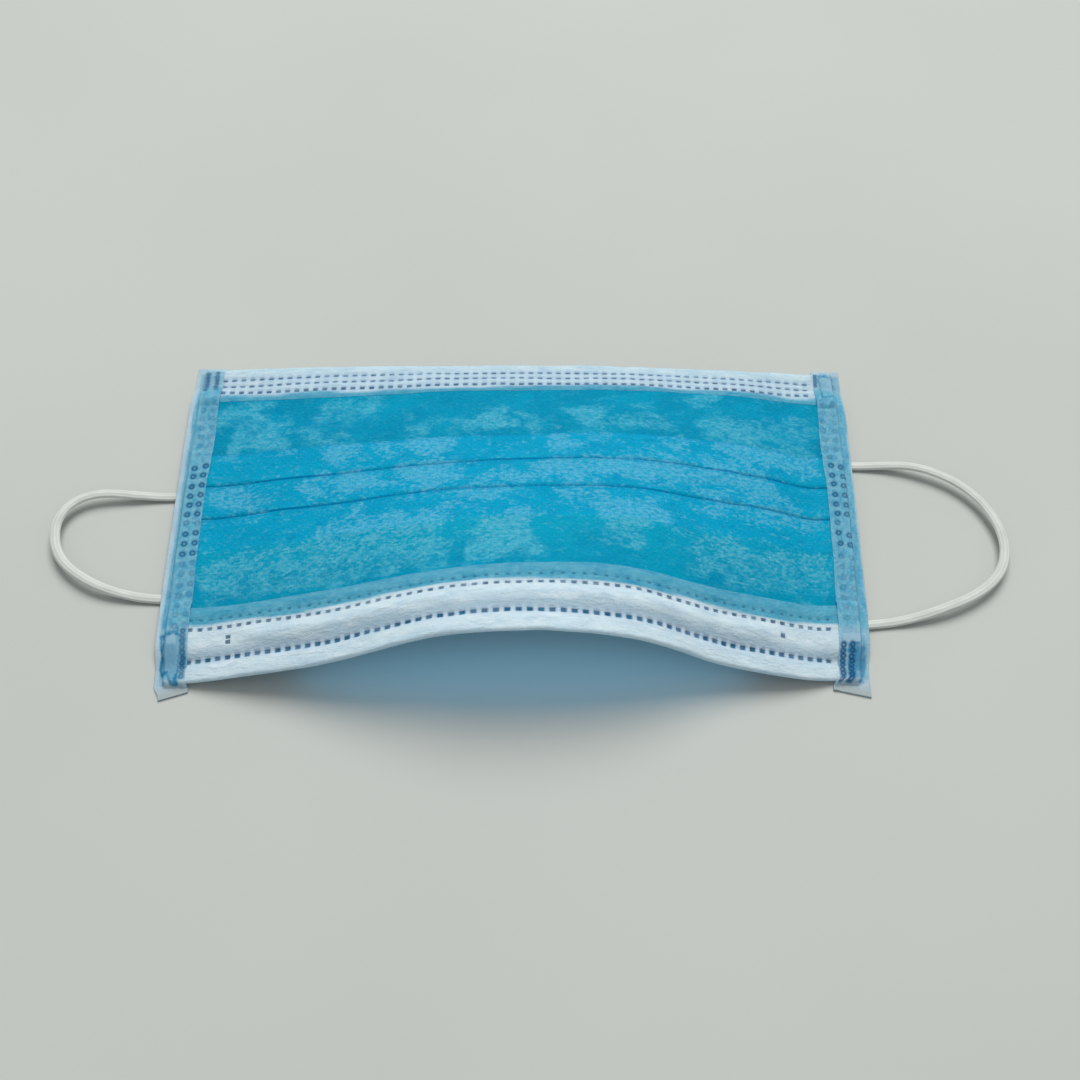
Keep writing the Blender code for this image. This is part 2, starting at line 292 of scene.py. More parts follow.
# Paler zones of the blue cloth: from and to across, from and to along in millimetres,
# strength
PALE_ZONES = (
    (-80, -65, 13, 21, 0.8),
    (-52, -36, 13, 22, 0.6),
    (-75, -60, 21, 30, 0.9),
    (-58, -40, 24, 29, 0.6),
    (-28, -23, 22, 28, 0.7),
    (-20, -10, 24, 29, 0.8),
    (-12, -2, 18, 28, 0.9),
    (1, 9, 21, 28, 0.8),
    (15, 26, 17, 28, 0.9),
    (27, 40, 20, 27, 0.6),
    (49, 65, 21, 28, 0.9),
    (46, 55, 12, 17, 0.8),
    (64, 80, 18, 28, 0.6),
    (-49, -40, 30, 38, 0.9),
    (-36, -30, 30, 37, 0.6),
    (-27, -16, 30, 38, 0.9),
    (7, 14, 31, 38, 0.8),
    (17, 26, 30, 35, 0.7),
    (38, 42, 28, 36, 0.8),
    (54, 82, 28, 37, 0.7),
    (-80, -65, 41, 51, 0.7),
    (-55, -50, 41, 48, 0.9),
    (-47, -32, 41, 48, 0.9),
    (-28, -14, 40, 49, 1.0),
    (-9, 5, 44, 50, 0.7),
    (6, 16, 41, 49, 1.0),
    (18, 35, 40, 48, 0.9),
    (29, 67, 38, 47, 0.7),
    (45, 82, 48, 54, 0.6),
    (-40, -37, 51, 58, 0.9),
    (-14, -3, 50, 57, 0.7),
    (11, 19, 50, 57, 0.7),
    (20, 37, 53, 62, 0.9),
    (22, 29, 60, 70, 0.7),
    (-34, -15, 56, 64, 0.7),
    (-11, 5, 60, 76, 0.9),
    (-80, -15, 64, 76, 0.6),
    (-48, -30, 56, 66, 0.6),
    (41, 82, 62, 74, 0.55),
)
ZONE_EDGE = 5.5 * MM

# Elastic loops, on the same routes as their solids: x and y in millimetres
LEFT_LOOP = (
    (-80.5, 35.5),
    (-74.0, 34.8),
    (-68.2, 31.2),
    (-65.4, 24.5),
    (-66.9, 17.0),
    (-72.8, 11.3),
    (-81.0, 8.7),
    (-90.0, 8.0),
    (-100.5, 7.9),
    (-107.5, 7.7),
    (-112.4, 6.2),
    (-115.7, 3.2),
    (-117.3, -1.0),
    (-117.0, -6.2),
    (-114.6, -11.8),
    (-110.2, -16.2),
    (-104.2, -19.7),
    (-97.5, -21.7),
    (-90.0, -22.6),
    (-84.0, -22.6),
    (-77.5, -22.8),
    (-72.4, -24.9),
    (-70.3, -29.0),
    (-72.4, -33.1),
    (-77.5, -35.0),
    (-81.0, -35.0),
)
RIGHT_LOOP = (
    (80.5, 35.8),
    (75.0, 34.5),
    (70.8, 30.4),
    (70.8, 24.6),
    (74.4, 20.3),
    (80.5, 18.3),
    (88.0, 17.6),
    (95.0, 17.3),
    (102.5, 16.6),
    (109.3, 14.5),
    (115.9, 10.6),
    (120.9, 5.0),
    (123.8, -1.4),
    (124.6, -7.8),
    (123.0, -14.7),
    (118.8, -20.3),
    (112.7, -24.4),
    (105.3, -27.5),
    (97.3, -29.7),
    (88.5, -30.9),
    (80.5, -31.6),
    (73.0, -32.6),
    (66.5, -34.4),
)
LOOP_HEIGHT = 0.7 * MM
LOOP_RISE = 2.0 * MM
LOOP_RISE_RUN = 20 * MM
LOOP_WIDTH = 2.6 * MM
LOOP_THICKNESS = 1.4 * MM
LOOP_STEP = 0.5 * MM
LOOP_SIDES = 32
LOOP_RIBS = 8
RIB_DEPTH = 0.05 * MM
SEAM_GAP = 0.01 * MM
PATH_STEP = 4 * MM

# Camera and lights
CAMERA_ELEVATION = 57.15
CAMERA_AZIMUTH = -4.07
CAMERA_ROLL = 3.21
CAMERA_DISTANCE = 334.8 * MM
CAMERA_TARGET = (5.12 * MM, -5.2 * MM, 0)
CAMERA_LENS = 43.4
CAMERA_NEAR = 10 * MM
KEY_ELEVATION = 56
KEY_AZIMUTH = 172
KEY_DISTANCE = 2.4
KEY_SIZE = 1.7
KEY_POWER = 63.5
SKY_STRENGTH = 0.54
SKY_COLOUR = (244, 248, 250)

# A soft glow under the nose edge, for the daylight that the cloth lets through
GLOW_PLACE = (1 * MM, -45 * MM, 5.5 * MM)
GLOW_SIZE = (112 * MM, 17 * MM)
GLOW_POWER = 0.0024
GLOW_COLOUR = (90, 200, 255)
FLOOR_SIZE = 8


class Hem(NamedTuple):
    """A strip folded over a long edge of the mask, with or without the nose wire in it."""

    piece: str
    node: str
    edge: float
    inward: int
    over: float
    under: float
    white_from: float
    dashes: tuple
    tint_and_shade: float
    edge_bow: float
    wired: bool


class Binding(NamedTuple):
    """A strip folded over a side edge of the mask."""

    piece: str
    node: str
    side: int
    rings: tuple
    patches: tuple
    blue_past_edge: float
    flare: float
    taper: float


HEMS = (
    Hem(
        piece="nose_hem",
        node="nose_band",
        edge=BODY_DEPTH,
        inward=-1,
        over=NOSE_HEM,
        under=NOSE_HEM_UNDER,
        white_from=WHITE_FROM_NOSE,
        dashes=NOSE_DASHES,
        tint_and_shade=0,
        edge_bow=0,
        wired=True,
    ),
    Hem(
        piece="chin_hem",
        node="chin_band",
        edge=0,
        inward=1,
        over=CHIN_HEM,
        under=CHIN_HEM_UNDER,
        white_from=WHITE_FROM_CHIN,
        dashes=CHIN_DASHES,
        tint_and_shade=CHIN_TINT_AND_SHADE,
        edge_bow=CHIN_EDGE_BOW,
        wired=False,
    ),
)
BINDINGS = (
    Binding(
        piece="side_strip_left",
        node="side_binding_left",
        side=-1,
        rings=LEFT_RINGS,
        patches=LEFT_PATCHES,
        blue_past_edge=1.2 * MM,
        flare=0.4 * MM,
        taper=1.5 * MM,
    ),
    Binding(
        piece="side_strip_right",
        node="side_binding_right",
        side=1,
        rings=RIGHT_RINGS,
        patches=RIGHT_PATCHES,
        blue_past_edge=2.2 * MM,
        flare=1.2 * MM,
        taper=0,
    ),
)


def smooth_step(x):
    x = np.clip(x, 0, 1)
    return x * x * (3 - 2 * x)


def through(points, at):
    """Values at places `at` on the natural cubic spline through (place, value) rows."""
    places, values = np.array(points, float).T
    steps = np.diff(places)
    rises = np.diff(values) / steps
    system = np.eye(len(places))
    wanted = np.zeros(len(places))
    for k in range(1, len(places) - 1):
        system[k, k - 1 : k + 2] = steps[k - 1], 2 * (steps[k - 1] + steps[k]), steps[k]
        wanted[k] = 6 * (rises[k] - rises[k - 1])
    bends = np.linalg.solve(system, wanted)
    i = np.clip(np.searchsorted(places, at) - 1, 0, len(steps) - 1)
    b = (at - places[i]) / steps[i]
    a = 1 - b
    curved = (a**3 - a) * bends[i] + (b**3 - b) * bends[i + 1]
    return a * values[i] + b * values[i + 1] + curved * steps[i] ** 2 / 6


def ripple(x, y, seed):
    """Smooth noise between -1 and 1, with a value of its own at each whole x and y."""
    values = np.random.default_rng(seed).uniform(-1, 1, (NOISE_CELLS, NOISE_CELLS))
    x, y = np.broadcast_arrays(x, y)
    i = np.floor(x).astype(int)
    j = np.floor(y).astype(int)
    u = smooth_step(x - i)
    t = smooth_step(y - j)

    def corner(right, up):
        return values[(i + right) % NOISE_CELLS, (j + up) % NOISE_CELLS]

    low = corner(0, 0) * (1 - u) + corner(1, 0) * u
    high = corner(0, 1) * (1 - u) + corner(1, 1) * u
    return low * (1 - t) + high * t


def waves(s, v, *kinds):
    """Some kinds of ripples, added up at places of the flat cloth."""
    total = 0
    for height, across, along, seed in kinds:
        total = total + height * ripple(s / across, v / along, seed)
    return total


def loop_lift(v):
    """How high the sides stand to clear the loops under them."""
    chin = smooth_step((v - LIFT_FROM_CHIN) / LIFT_RAMP)
    nose = smooth_step((BODY_DEPTH - LIFT_FROM_NOSE - v) / LIFT_RAMP)
    return LOOP_LIFT * chin * nose


def underside(s, v):
    """Height of the cloth's underside above the table."""
    across = np.clip(s / INNER, -1, 1)
    along = np.clip(v / BODY_DEPTH, 0, 1)
    arch = ARCH_HEIGHT * along * through(NOSE_ARCH, across)
    bulge = BULGE_HEIGHT * 4 * along * (1 - along) * through(PLEAT_BULGE, across)
    bow = CHIN_BOW * (1 - along) * (1 - across**2)
    return np.cbrt(np.maximum(arch + bulge + bow, 0) ** 3 + loop_lift(v) ** 3)


def running_sum(rates, places, axis):
    """The integral of rates from the first place on, along one axis."""
    rates = np.moveaxis(rates, axis, -1)
    steps = (rates[..., 1:] + rates[..., :-1]) / 2 * np.diff(places)
    total = np.concatenate([np.zeros_like(rates[..., :1]), steps.cumsum(-1)], -1)
    return np.moveaxis(total, -1, axis)


class Lattice:
    """Where each point of the flat cloth lies, its length kept both ways."""

    def __init__(self):
        self.s = self.spaced(-SIDE, SIDE)
        self.v = self.spaced(-CHIN_TAIL, BODY_DEPTH + NOSE_TAIL)
        z = underside(self.s[None, :], self.v[:, None])
        x = running_sum(np.sqrt(1 - np.gradient(z, self.s, axis=1) ** 2), self.s, 1)
        x -= (x[:, :1] + x[:, -1:]) / 2
        x += NOSE_SHIFT * self.v[:, None] / BODY_DEPTH
        slope = np.gradient(z, self.v, axis=0) ** 2 + np.gradient(x, self.v, axis=0) ** 2
        y = -running_sum(np.sqrt(1 - slope), self.v, 0)
        y -= (y.min() + y.max()) / 2
        y -= RIGHT_SLIP * smooth_step((self.s / INNER - SLIP_FROM) / (1 - SLIP_FROM))
        self.points = np.stack([x, y, z], -1)
        along_s = np.gradient(self.points, self.s, axis=1)
        along_v = np.gradient(self.points, self.v, axis=0)
        normals = -np.cross(along_s, along_v)
        self.normals = normals / np.linalg.norm(normals, axis=-1, keepdims=True)

    @staticmethod
    def spaced(low, high):
        return np.linspace(low, high, round((high - low) / LATTICE_STEP) + 1)

    def laid(self, s, v, height):
        """The places in space of points of the cloth, height above its underside."""
        s, v, height = np.broadcast_arrays(s, v, height)
        i = np.clip(np.searchsorted(self.v, v) - 1, 0, len(self.v) - 2)
        j = np.clip(np.searchsorted(self.s, s) - 1, 0, len(self.s) - 2)
        t = ((v - self.v[i]) / (self.v[i + 1] - self.v[i]))[..., None]
        u = ((s - self.s[j]) / (self.s[j + 1] - self.s[j]))[..., None]

        def mixed(grid):
            low = grid[i, j] * (1 - u) + grid[i, j + 1] * u
            high = grid[i + 1, j] * (1 - u) + grid[i + 1, j + 1] * u
            return low * (1 - t) + high * t

        return mixed(self.points) + height[..., None] * mixed(self.normals)


# Materials


def paint(red, green, blue):
    """A colour as it looks, as the shaders take it."""
    shares = np.array((red, green, blue)) / 255
    linear = np.where(shares <= 0.04045, shares / 12.92, ((shares + 0.055) / 1.055) ** 2.4)
    return (*(float(share) for share in linear), 1)


class Finish:
    """A material that is put together from nodes."""

    def __init__(self, name):
        self.material = bpy.data.materials.new(name)
        self.material.use_nodes = True
        self.tree = self.material.node_tree
        self.tree.nodes.clear()
        self.flat = self.node("ShaderNodeUVMap", uv_map="flat").outputs["UV"]

    def node(self, kind, inputs=(), **settings):
        made = self.tree.nodes.new(kind)
        for name, value in settings.items():
            setattr(made, name, value)
        for socket, value in dict(inputs).items():
            if isinstance(value, bpy.types.NodeSocket):
                self.tree.links.new(value, made.inputs[socket])
            else:
                made.inputs[socket].default_value = value
        return made

    def attribute(self, name):
        return self.node("ShaderNodeAttribute", attribute_name=name).outputs["Fac"]

    def scaled(self, across, along):
        """The flat cloth's coordinates, one unit for each length given."""
        inputs = {"Vector": self.flat, "Scale": (1 / across, 1 / along, 1)}
        return self.node("ShaderNodeMapping", inputs).outputs["Vector"]

    def noise(self, across, along, detail=2.0, roughness=0.5, warp=0.0):
        inputs = {
            "Vector": self.scaled(across, along),
            "Scale": 1.0,
            "Detail": detail,
            "Roughness": roughness,
            "Distortion": warp,
        }
        return self.node("ShaderNodeTexNoise", inputs).outputs["Fac"]

    def ramp(self, value, low, high, start=0.0, end=1.0):
        """Start at low, end at high and a smooth rise between."""
        inputs = {
            "Value": value,
            "From Min": low,
            "From Max": high,
            "To Min": start,
            "To Max": end,
        }
        made = self.node("ShaderNodeMapRange", inputs, interpolation_type="SMOOTHSTEP")
        return made.outputs["Result"]

    def sum(self, first, second, share=1.0):
        """first + share * second"""
        inputs = {0: second, 1: share, 2: first}
        return self.node("ShaderNodeMath", inputs, operation="MULTIPLY_ADD").outputs[0]

    def product(self, first, second):
        return self.node("ShaderNodeMath", {0: first, 1: second}, operation="MULTIPLY").outputs[0]

    def mixed(self, share, first, second, blend="MIX"):
        inputs = {0: share, 6: first, 7: second}
        made = self.node("ShaderNodeMix", inputs, data_type="RGBA", blend_type=blend)
        return made.outputs[2]

    def bump(self, height, distance, under=None):
        inputs = {"Height": height, "Distance": distance, "Strength": 1.0}
        if under is not None:
            inputs["Normal"] = under
        return self.node("ShaderNodeBump", inputs).outputs["Normal"]

    def points(self, pitch):
        """The staggered points at which a bonded cloth is pressed together."""
        across = self.node("ShaderNodeSeparateXYZ", {"Vector": self.scaled(pitch, pitch)})
        sines = []
        for axis in "XY":
            turned = self.product(across.outputs[axis], 2 * math.pi)
            sines.append(self.node("ShaderNodeMath", {0: turned}, operation="SINE").outputs[0])
        return self.ramp(self.product(*sines), 0.35, 0.8)

    def done(self, colour, normal, roughness, sheen, through_share, through_colour):
        """Cloth: a matt surface that lets some light through."""
        inputs = {
            "Base Color": colour,
            "Normal": normal,
            "Roughness": roughness,
            "Sheen Weight": sheen,
            "Sheen Roughness": 0.5,
            "Specular IOR Level": 0.06,
        }
        surface = self.node("ShaderNodeBsdfPrincipled", inputs).outputs["BSDF"]
        inputs = {"Color": through_colour, "Normal": normal}
        glow = self.node("ShaderNodeBsdfTranslucent", inputs).outputs["BSDF"]
        inputs = {0: through_share, 1: surface, 2: glow}
        shader = self.node("ShaderNodeMixShader", inputs).outputs["Shader"]
        self.node("ShaderNodeOutputMaterial", {"Surface": shader})
        return self.material


def filter_finish():
    """Blue bonded cloth, rubbed paler in patches, brighter and rougher over the pleats."""
    f = Finish("filter_cloth")
    raised = f.attribute("raised")
    cloudy = f.ramp(f.noise(15 * MM, 9 * MM, 3.0, 0.6), 0.35, 0.65)
    mottled = f.ramp(f.noise(4.6 * MM, 2.6 * MM, 4.0, 0.66, 0.3), 0.3, 0.7)
    specks = f.ramp(f.noise(1.3 * MM, 0.8 * MM, 3.0, 0.6), 0.32, 0.68)
    flecks = f.noise(0.9 * MM, 0.5 * MM, 2.0, 0.6)
    threads = f.noise(5.0 * MM, 0.6 * MM, 2.0, 0.5, 1.5)
    shaded = f.ramp(f.noise(3.4 * MM, 1.8 * MM, 4.0, 0.68, 0.4), 0.47, 0.32)
    points = f.points(1.7 * MM)
    field = f.sum(f.product(f.attribute("pale"), 0.8), mottled, 0.6)
    field = f.sum(field, f.product(specks, f.sum(0.12, raised, 0.3)))
    soft = f.ramp(field, 0.4, 1.3)
    rough = f.ramp(field, 0.66, 1.08)
    patch = f.sum(soft, f.product(f.sum(rough, soft, -1.0), raised), 0.7)
    blue = f.mixed(cloudy, paint(0, 161, 191), paint(0, 179, 206))
    blue = f.mixed(f.product(raised, 0.5), blue, paint(0, 210, 233))
    blue = f.mixed(f.product(specks, 0.35), blue, paint(30, 190, 214))
    pale = f.mixed(specks, paint(48, 197, 219), paint(120, 222, 236))
    colour = f.mixed(patch, blue, pale)
    colour = f.mixed(f.product(shaded, 0.4), colour, paint(0, 146, 184))
    light = f.sum(f.sum(0.14, patch, 0.75), raised, 0.14)
    light = f.product(f.ramp(flecks, 0.58, 0.74), light)
    colour = f.mixed(light, colour, paint(160, 232, 243))
    colour = f.mixed(f.product(points, 0.08), colour, paint(0, 146, 184))
    # Painted shade: a thin darker line along each pleat fold
    colour = f.mixed(f.product(f.attribute("crease_shade"), 0.7), colour, paint(0, 112, 146))
    normal = f.bump(points, -0.05 * MM)
    normal = f.bump(threads, 0.10 * MM, normal)
    normal = f.bump(specks, 0.05 * MM, normal)
    roughness = f.ramp(patch, 0, 1, 0.7, 0.9)
    return f.done(colour, normal, roughness, 0.0, 0.6, paint(0, 196, 238))


def inner_finish():
    """The white ply on the underside."""
    f = Finish("inner_ply")
    threads = f.noise(4.0 * MM, 0.4 * MM, 3.0, 0.6, 1.0)
    grain = f.noise(0.8 * MM, 0.6 * MM, 3.0, 0.6)
    points = f.points(1.5 * MM)
    colour = f.mixed(f.ramp(threads, 0.3, 0.7), paint(222, 230, 234), paint(238, 242, 244))
    colour = f.mixed(f.product(points, 0.25), colour, paint(196, 208, 216))
    normal = f.bump(points, -0.06 * MM)
    normal = f.bump(threads, 0.08 * MM, normal)
    normal = f.bump(grain, 0.06 * MM, normal)
    return f.done(colour, normal, 0.8, 0.1, 0.8, paint(225, 245, 255))


def hem_finish():
    """White bonded cloth, light blue where only one ply of it lies on the blue."""
    f = Finish("hem_cloth")
    cloudy = f.ramp(f.noise(9 * MM, 3 * MM, 3.0, 0.6), 0.35, 0.65)
    ragged = f.ramp(f.noise(3.0 * MM, 1.6 * MM, 4.0, 0.65, 0.6), 0.35, 0.65)
    streaks = f.noise(4.5 * MM, 1.2 * MM, 4.0, 0.62, 1.0)
    grain = f.ramp(f.noise(1.1 * MM, 0.6 * MM, 3.0, 0.6), 0.3, 0.7)
    weld = f.attribute("weld")
    halo = f.attribute("halo")
    blue = f.attribute("blue")
    white = f.mixed(cloudy, paint(218, 233, 238), paint(234, 244, 244))
    white = f.mixed(f.product(f.ramp(streaks, 0.5, 0.72), 0.8), white, paint(254, 255, 253))
    white = f.mixed(f.product(f.ramp(streaks, 0.42, 0.28), 0.45), white, paint(172, 196, 212))
    # Painted shade in the crease of the nose hem, just short of its seam row
    white = f.mixed(f.product(f.attribute("crease_shade"), 0.5), white, paint(150, 178, 192))
    thin = f.mixed(cloudy, paint(66, 163, 190), paint(104, 184, 203))
    thin = f.mixed(f.product(ragged, 0.7), thin, paint(128, 198, 212))
    thin = f.mixed(f.product(grain, 0.5), thin, paint(44, 146, 180))
    colour = f.mixed(blue, white, thin)
    colour = f.mixed(f.product(halo, 0.7), colour, paint(172, 198, 230))
    dark = f.mixed(grain, paint(20, 66, 98), paint(52, 102, 134))
    colour = f.mixed(weld, colour, dark)
    normal = f.bump(streaks, 0.30 * MM)
    normal = f.bump(grain, 0.06 * MM, normal)
    return f.done(colour, normal, 0.78, 0.1, 0.5, paint(215, 240, 250))


def binding_finish():
    """A thin strip, blue where it covers the mask, with rings pressed through it."""
    f = Finish("binding_cloth")
    cloudy = f.ramp(f.noise(3 * MM, 7 * MM, 3.0, 0.6), 0.35, 0.65)
    ragged = f.ramp(f.noise(1.4 * MM, 2.0 * MM, 4.0, 0.65, 0.5), 0.35, 0.65)
    streaks = f.noise(0.7 * MM, 3.5 * MM, 3.0, 0.6, 0.8)
    grain = f.ramp(f.noise(0.7 * MM, 0.7 * MM, 3.0, 0.6), 0.3, 0.7)
    bare = f.mixed(cloudy, paint(190, 208, 217), paint(208, 222, 227))
    bare = f.mixed(f.attribute("tail"), bare, paint(192, 195, 190))
    over = f.mixed(cloudy, paint(84, 172, 200), paint(120, 195, 212))
    over = f.mixed(f.product(ragged, 0.7), over, paint(166, 214, 222))
    over = f.mixed(f.product(grain, 0.5), over, paint(52, 146, 186))
    colour = f.mixed(f.attribute("blue"), bare, over)
    dye = f.attribute("dye")
    pressed = f.mixed(grain, paint(0, 104, 154), paint(52, 160, 194))
    colour = f.mixed(f.ramp(dye, 0, 1), colour, pressed)
    colour = f.mixed(f.ramp(dye, 0, -1), colour, paint(176, 204, 218))
    dark = f.mixed(grain, paint(0, 54, 100), paint(4, 84, 134))
    colour = f.mixed(f.attribute("weld"), colour, dark)
    normal = f.bump(streaks, 0.12 * MM)
    normal = f.bump(grain, 0.05 * MM, normal)
    return f.done(colour, normal, 0.6, 0.1, 0.5, paint(205, 234, 246))


def elastic_finish():
    """Soft white elastic, ribbed lengthwise and knitted fine, with painted shade in the grooves.
    """
    f = Finish("elastic")
    knit = f.noise(0.35 * MM, 0.55 * MM, 3.0, 0.6)
    cloudy = f.noise(2 * MM, 7 * MM, 2.0, 0.5)
    colour = f.mixed(f.ramp(cloudy, 0.3, 0.7), paint(196, 198, 192), paint(211, 213, 208))
    # Painted shade in the grooves between the ribs
    colour = f.mixed(f.product(f.attribute("groove_shade"), 0.5), colour, paint(168, 171, 165))
    normal = f.bump(knit, 0.10 * MM)
    return f.done(colour, normal, 0.7, 0.3, 0.1, paint(225, 225, 222))


def floor_finish():
    """A plain pale table."""
    f = Finish("pale_floor")
    place = f.node("ShaderNodeTexCoord").outputs["Object"]
    inputs = {"Vector": place, "Scale": 6.0, "Detail": 3.0}
    cloudy = f.node("ShaderNodeTexNoise", inputs).outputs["Fac"]
    colour = f.mixed(f.ramp(cloudy, 0.3, 0.7), paint(173, 176, 171), paint(177, 179, 174))
    inputs = {"Base Color": colour, "Roughness": 0.9, "Specular IOR Level": 0.0}
    shader = f.node("ShaderNodeBsdfPrincipled", inputs)
    f.node("ShaderNodeOutputMaterial", {"Surface": shader.outputs["BSDF"]})
    return f.material


# Shapes


def evenly(low, high, longest):
    return np.linspace(low, high, math.ceil(abs(high - low) / longest) + 1)


def woven_in(fine, coarse, least):
    """The fine places, with those coarse ones that lie clear of them."""
    fine = np.array(fine)
    clear = [place for place in coarse if np.abs(fine - place).min() > least]
    return np.sort(np.concatenate([fine, clear]))


def lengths_along(*coordinates):
    """The distance run at each point of a path."""
    steps = np.sqrt(sum(np.diff(c) ** 2 for c in coordinates))
    return np.concatenate([[0], steps.cumsum()])


def sheet_piece(name, places, flat, marks, finishes, wall=0.0):
    """A grid moved to its places, with its flat coordinates, marks and wall."""
    along, across = places.shape[0] - 1, places.shape[1] - 1
    bpy.ops.mesh.primitive_grid_add(x_subdivisions=across, y_subdivisions=along, size=2)
    piece = bpy.context.object
    piece.name = name
    mesh = piece.data
    mesh.name = name
    corners = np.zeros(len(mesh.vertices) * 3)
    mesh.vertices.foreach_get("co", corners)
    corners = corners.reshape(-1, 3)
    column = np.rint((corners[:, 0] + 1) / 2 * across).astype(int)
    row = np.rint((corners[:, 1] + 1) / 2 * along).astype(int)
    mesh.vertices.foreach_set("co", places[row, column].ravel())
    for mark, values in marks.items():
        values = np.broadcast_to(values, places.shape[:2])[row, column]
        mesh.attributes.new(mark, "FLOAT", "POINT").data.foreach_set("value", values)
    vertex = np.zeros(len(mesh.loops), int)
    mesh.loops.foreach_get("vertex_index", vertex)
    mesh.uv_layers[0].name = "flat"
    drawn = np.stack(np.broadcast_arrays(*flat), -1)[row, column]
    mesh.uv_layers["flat"].data.foreach_set("uv", drawn[vertex].ravel())
    for finish in finishes:
        mesh.materials.append(finish)
    mesh.update()
    if wall:
        if mesh.polygons[0].normal.z < 0:
            mesh.flip_normals()
        solid = piece.modifiers.new("wall", "SOLIDIFY")
        solid.thickness = wall
        solid.offset = 0
        solid.use_even_offset = True
        solid.material_offset = len(finishes) - 1
        bpy.ops.object.modifier_apply(modifier="wall")
    bpy.ops.object.shade_smooth_by_angle(angle=math.radians(SHARP_FROM))
    bpy.ops.object.select_all(action="DESELECT")
    return piece


def puffed(s):
    """From 0 where the bindings press the layers together to 1 where they lie loose."""
    return smooth_step((INNER - np.abs(s)) / PRESSED_RUN)


def unevenness(s, v):
    """Shallow waves that all the layers share."""
    return puffed(s) * (PANEL_PUFF + waves(s, v, LONG_WAVES, SHORT_WAVES))


def wander(s, v):
    """How far rows of welds and edges stray from a straight line."""
    return waves(s, v, SLOW_WANDER, QUICK_WANDER)


def turn_back(edge, outward, level):
    """A fold at an edge, from one level up to the next."""
    angles = np.linspace(-math.pi / 2, math.pi / 2, FOLD_STEPS)
    radius = FOLD_SPACING / 2
    places = edge + outward * radius * np.cos(angles)
    return list(zip(places, level + (1 + np.sin(angles)) / 2))


def pleated_path():
    """The blue cloth in (v, level), from the chin edge to the nose edge."""
    path = []
    start = CLOTH_INSET
    for k in range(PLEAT_COUNT):
        edge = PLEAT_FIRST + FOLD_DRAW + k * PLEAT_PITCH
        fall = LAST_FALL if k == PLEAT_COUNT - 1 else PLEAT_PITCH - LAP - FOLD_SPACING
        lower = evenly(start, edge + LAP, PANEL_STEP)[:-1]
        if k == 0:
            lower = woven_in(edge - CREASE_SHADE_WIDTH * np.arange(5), lower, CREASE_SHADE_WIDTH)
        path += [(v, 0) for v in lower]
        path += turn_back(edge + LAP, 1, 0)
        path += [(v, 1) for v in evenly(edge + LAP, edge, PANEL_STEP)[1:-1]]
        path += turn_back(edge, -1, 1)
        path += [(v, 2) for v in evenly(edge, edge + LAP, PANEL_STEP)[1:-1]]
        falling = evenly(edge + LAP, edge + LAP + fall, PANEL_STEP / 3)[:-1]
        path += [(v, 2 - 2 * smooth_step((v - edge - LAP) / fall)) for v in falling]
        start = edge + LAP + fall
    path += [(v, 0) for v in evenly(start, BODY_DEPTH - CLOTH_INSET, PANEL_STEP)]
    return np.array(path).T


def pale_share(s, v):
    """How pale the blue is, from the table of zones."""
    share = np.zeros(np.broadcast_shapes(s.shape, v.shape))
    across = s + waves(s, v, ZONE_STRAY_ACROSS)
    along = v + waves(s, v, ZONE_STRAY_ALONG)
    for left, right, chin, nose, strength in PALE_ZONES:
        near_side = np.minimum(across - left * MM, right * MM - across)
        near_end = np.minimum(along - chin * MM, nose * MM - along)
        inside = smooth_step(near_side / ZONE_EDGE + 0.5)
        inside = inside * smooth_step(near_end / ZONE_EDGE + 0.5)
        share = np.maximum(share, strength * inside)
    return share


def make_panel(lattice, finishes):
    """The blue cloth and its white inner ply, folded in pleats."""
    v, level = pleated_path()
    v, level = v[:, None], level[:, None]
    side = HALF_WIDTH - SIDE_INSET
    s = evenly(-side, side, PANEL_STEP)[None, :] + BINDING_SHIFT
    spacing = FOLD_SPACING + FOLD_PUFF * puffed(s)
    folds = PLEAT_FIRST + FOLD_DRAW + PLEAT_PITCH * np.arange(PLEAT_COUNT)
    # Distance to the nearest fold, for the painted shade along the folds
    to_fold = np.abs(v[..., None] - folds + CREASE_SHADE_WIDTH).min(-1)
    height = PANEL_LAYER + level * spacing + unevenness(s, v)
    places = lattice.laid(s, v + wander(s, v), height)
    flat_v = lengths_along(v[:, 0], level[:, 0] * FOLD_SPACING)
    marks = {
        "pale": pale_share(s, v),
        "crease_shade": np.exp(-((to_fold / CREASE_SHADE_WIDTH) ** 2)),
        "raised": np.clip(level / 2, 0, 1),
    }
    flat = (s, flat_v[:, None])
    piece = sheet_piece("pleated_cloth", places, flat, marks, finishes, PANEL_WALL)
    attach(piece, "root")
    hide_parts("pleated_panel")


def dash_columns():
    """Places across a hem, close together at both ends of every dash."""
    middles = DASH_PITCH * (np.arange(DASH_COUNT) - (DASH_COUNT - 1) / 2)
    half = np.array((DASH_HALF / 3, DASH_HALF, DASH_HALF + DASH_EDGE, 0.4 * DASH_PITCH))
    fine = (middles[:, None] + np.concatenate([-half[::-1], half])).ravel()
    end = INNER + HEM_COVERED
    return woven_in(fine, evenly(-end, end, HEM_COLUMN_STEP), COLUMN_CLEAR)


def hem_rows(hem):
    """Places along a hem's upper layer, close together at every row of marks."""
    marked = [(row, half) for row, _, half, _, _ in hem.dashes]
    if hem.wired:
        marked += [(row, half) for _, row, half in WIRE_ENDS[:2]]
    fine = []
    for row, half in marked:
        half = half * MM
        offsets = np.array((-half - DASH_EDGE, -half, 0, half, half + DASH_EDGE))
        fine.extend(row * MM + offsets)
    turn = hem.edge + hem.inward * (STRIP_WALL / 2 + HEM_TURN)
    low, high = sorted((turn, hem.edge + hem.inward * hem.over))
    places = woven_in(fine, evenly(low, high, HEM_ROW_STEP), ROW_CLEAR)
    places[0], places[-1] = low, high
    return places if hem.inward < 0 else places[::-1]


